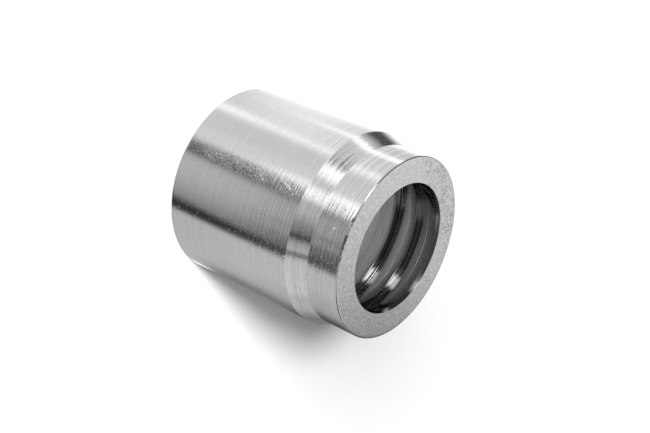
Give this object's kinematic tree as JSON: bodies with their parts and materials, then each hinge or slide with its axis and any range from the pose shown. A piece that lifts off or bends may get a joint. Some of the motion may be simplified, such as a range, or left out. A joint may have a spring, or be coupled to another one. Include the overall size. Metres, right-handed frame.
{
  "type": "crimp hose ferrule",
  "caption": "One-piece steel crimp sleeve for a hydraulic hose end, with a plain body, a tapered shoulder, a reduced neck and an inward locking collar with a gripping rib in its bore.",
  "frame": {"origin": "centre of the hose end face, which the ferrule stands on", "axes": "+Z along the ferrule's axis, from the hose end up to the collar face"},
  "size_m": [0.036, 0.036, 0.038],
  "materials": {
    "steel": "bright turned steel, satin outside and darker in the bore"
  },
  "bodies": {
    "root": {"ferrule": "steel"}
  },
  "joints": []
}
